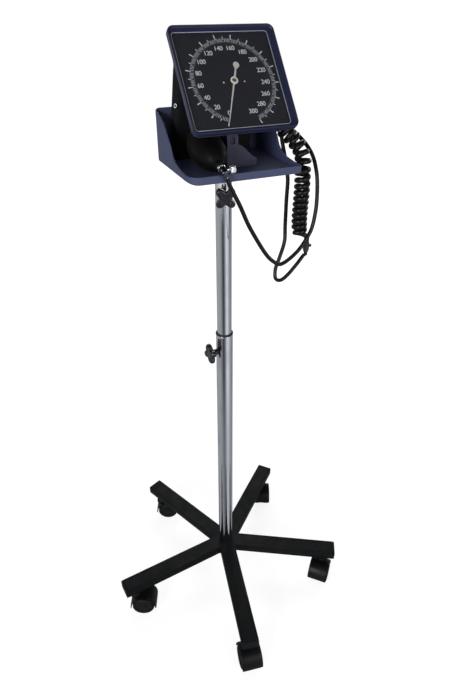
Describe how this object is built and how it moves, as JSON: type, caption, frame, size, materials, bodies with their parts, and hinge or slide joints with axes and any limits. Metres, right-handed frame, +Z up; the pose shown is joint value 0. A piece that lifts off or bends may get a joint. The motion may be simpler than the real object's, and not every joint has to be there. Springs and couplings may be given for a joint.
{
  "type": "stand aneroid sphygmomanometer",
  "caption": "Square dial blood pressure gauge on a tilting bracket in a tray with cuff, bulb and coiled hose, on a height-adjustable chrome mast with a star base on casters.",
  "frame": {"origin": "on the floor, under the middle of the stand's box measured without its hoses", "axes": "+Z up along the mast, the dial looks toward -Y and the coiled hose hangs at +X"},
  "size_m": [0.5022, 0.5298, 1.1916],
  "materials": {
    "frame_black": "satin black powder coat",
    "cap_black": "matte black plastic",
    "steel": "zinc-plated steel",
    "hood_black": "smooth black nylon",
    "wheel_black": "black nylon tread",
    "chrome": "polished chrome plate",
    "bush_black": "black plastic",
    "knob_black": "smooth black plastic",
    "tray_navy": "fine-textured navy plastic",
    "stand_navy": "fine-textured dark navy plastic",
    "case_navy": "satin navy plastic",
    "lens_clear": "clear flat pane",
    "dial_black": "matte near-black, white scale",
    "pointer_white": "white paint",
    "movement_brass": "machined brass",
    "fitting_black": "black plastic",
    "bulb_rubber": "smooth black rubber",
    "hose_rubber": "smooth black hose",
    "cuff_fabric": "black woven nylon"
  },
  "bodies": {
    "base": {"base_frame": "frame_black", "leg_end_cap_1": "cap_black", "leg_end_cap_2": "cap_black", "leg_end_cap_3": "cap_black", "leg_end_cap_4": "cap_black", "leg_end_cap_5": "cap_black", "base_bolt": "steel", "caster_stem_1": "steel", "caster_stem_2": "steel", "caster_stem_3": "steel", "caster_stem_4": "steel", "caster_stem_5": "steel", "lower_tube": "chrome", "mast_bush": "bush_black"},
    "caster_1": {"caster_hood_1": "hood_black", "caster_axle_1": "steel"},
    "wheel_left_1": {"wheel_left_1": "wheel_black"},
    "wheel_right_1": {"wheel_right_1": "wheel_black"},
    "caster_2": {"caster_hood_2": "hood_black", "caster_axle_2": "steel"},
    "wheel_left_2": {"wheel_left_2": "wheel_black"},
    "wheel_right_2": {"wheel_right_2": "wheel_black"},
    "caster_3": {"caster_hood_3": "hood_black", "caster_axle_3": "steel"},
    "wheel_left_3": {"wheel_left_3": "wheel_black"},
    "wheel_right_3": {"wheel_right_3": "wheel_black"},
    "caster_4": {"caster_hood_4": "hood_black", "caster_axle_4": "steel"},
    "wheel_left_4": {"wheel_left_4": "wheel_black"},
    "wheel_right_4": {"wheel_right_4": "wheel_black"},
    "caster_5": {"caster_hood_5": "hood_black", "caster_axle_5": "steel"},
    "wheel_left_5": {"wheel_left_5": "wheel_black"},
    "wheel_right_5": {"wheel_right_5": "wheel_black"},
    "height_knob": {"height_knob": "knob_black"},
    "mast_upper": {"upper_tube": "chrome"},
    "tray_knob": {"tray_knob": "knob_black"},
    "head": {"tray_socket": "bush_black", "tray": "tray_navy", "gauge_stand": "stand_navy", "tilt_bolt": "steel", "bulb": "bulb_rubber", "valve_body": "chrome", "bulb_inlet_valve": "chrome", "cuff": "cuff_fabric", "coil": "hose_rubber", "connector": "fitting_black", "cuff_tube": "hose_rubber", "bulb_tube": "hose_rubber"},
    "gauge": {"case_back": "case_navy", "bezel": "case_navy", "lens": "lens_clear", "dial": "dial_black", "diaphragm_capsule": "movement_brass", "movement_frame": "movement_brass", "gauge_port": "fitting_black"},
    "pointer": {"pointer": "pointer_white", "pinion_arbor": "movement_brass"},
    "sector_gear": {"sector_gear": "movement_brass"},
    "release_screw": {"release_screw": "chrome"}
  },
  "joints": [
    {"name": "caster_1_swivel", "type": "hinge", "parent": "base", "child": "caster_1", "pos_m": [0.22035, -0.10147, 0.0615], "axis": [0, 0, 1], "continuous": true},
    {"name": "wheel_left_1_spin", "type": "hinge", "parent": "caster_1", "child": "wheel_left_1", "pos_m": [0.20904, -0.11278, 0.025], "axis": [0.7071, -0.7071, 0], "continuous": true},
    {"name": "wheel_right_1_spin", "type": "hinge", "parent": "caster_1", "child": "wheel_right_1", "pos_m": [0.20904, -0.11278, 0.025], "axis": [0.7071, -0.7071, 0], "continuous": true},
    {"name": "caster_2_swivel", "type": "hinge", "parent": "base", "child": "caster_2", "pos_m": [0.19038, 0.17671, 0.0615], "axis": [0, 0, 1], "continuous": true},
    {"name": "wheel_left_2_spin", "type": "hinge", "parent": "caster_2", "child": "wheel_left_2", "pos_m": [0.18387, 0.16209, 0.025], "axis": [0.9135, -0.4067, 0], "continuous": true},
    {"name": "wheel_right_2_spin", "type": "hinge", "parent": "caster_2", "child": "wheel_right_2", "pos_m": [0.18387, 0.16209, 0.025], "axis": [0.9135, -0.4067, 0], "continuous": true},
    {"name": "caster_3_swivel", "type": "hinge", "parent": "base", "child": "caster_3", "pos_m": [-0.08345, 0.23416, 0.0615], "axis": [0, 0, 1], "continuous": true},
    {"name": "wheel_left_3_spin", "type": "hinge", "parent": "caster_3", "child": "wheel_left_3", "pos_m": [-0.06872, 0.22791, 0.025], "axis": [0.3907, 0.9205, 0], "continuous": true},
    {"name": "wheel_right_3_spin", "type": "hinge", "parent": "caster_3", "child": "wheel_right_3", "pos_m": [-0.06872, 0.22791, 0.025], "axis": [0.3907, 0.9205, 0], "continuous": true},
    {"name": "caster_4_swivel", "type": "hinge", "parent": "base", "child": "caster_4", "pos_m": [-0.2227, -0.00851, 0.0615], "axis": [0, 0, 1], "continuous": true},
    {"name": "wheel_left_4_spin", "type": "hinge", "parent": "caster_4", "child": "wheel_left_4", "pos_m": [-0.20798, -0.01476, 0.025], "axis": [0.3907, 0.9205, 0], "continuous": true},
    {"name": "wheel_right_4_spin", "type": "hinge", "parent": "caster_4", "child": "wheel_right_4", "pos_m": [-0.20798, -0.01476, 0.025], "axis": [0.3907, 0.9205, 0], "continuous": true},
    {"name": "caster_5_swivel", "type": "hinge", "parent": "base", "child": "caster_5", "pos_m": [-0.03495, -0.21594, 0.0615], "axis": [0, 0, 1], "continuous": true},
    {"name": "wheel_left_5_spin", "type": "hinge", "parent": "caster_5", "child": "wheel_left_5", "pos_m": [-0.03773, -0.2317, 0.025], "axis": [0.9848, -0.1736, 0], "continuous": true},
    {"name": "wheel_right_5_spin", "type": "hinge", "parent": "caster_5", "child": "wheel_right_5", "pos_m": [-0.03773, -0.2317, 0.025], "axis": [0.9848, -0.1736, 0], "continuous": true},
    {"name": "height_knob_turn", "type": "hinge", "parent": "base", "child": "height_knob", "pos_m": [-0.00225, 0.015, 0.649], "axis": [-0.9925, -0.1219, 0], "range_deg": [0, 360]},
    {"name": "mast_height", "type": "slide", "parent": "base", "child": "mast_upper", "axis": [0, 0, 1], "range_m": [-0.23, 0.15]},
    {"name": "tray_knob_turn", "type": "hinge", "parent": "mast_upper", "child": "tray_knob", "pos_m": [0.01004, 0.00427, 0.9551], "axis": [-0.2924, -0.9563, 0], "range_deg": [0, 360]},
    {"name": "head_swivel", "type": "hinge", "parent": "mast_upper", "child": "head", "pos_m": [0.01393, 0.01699, 1.0017], "axis": [0, 0, 1], "continuous": true},
    {"name": "gauge_tilt", "type": "hinge", "parent": "head", "child": "gauge", "pos_m": [0.01393, -0.01001, 1.0737], "axis": [1, 0, 0], "range_deg": [-4, 8]},
    {"name": "pointer_sweep", "type": "hinge", "parent": "gauge", "child": "pointer", "pos_m": [0.01393, 0.00933, 1.09793], "axis": [0, 0.7815, -0.6239], "range_deg": [0, 316.7]},
    {"name": "sector_turn", "type": "hinge", "parent": "gauge", "child": "sector_gear", "pos_m": [0.01393, -0.00583, 1.07894], "axis": [0, 0.7815, -0.6239], "range_deg": [-45.3, 0.1]},
    {"name": "release_screw_turn", "type": "hinge", "parent": "head", "child": "release_screw", "pos_m": [-0.02063, -0.07654, 1.01754], "axis": [0.9994, 0.0349, 0], "range_deg": [0, 270]}
  ],
  "couplings": [
    {"joint": "sector_turn", "follows": "pointer_sweep", "ratio": -0.14286}
  ]
}
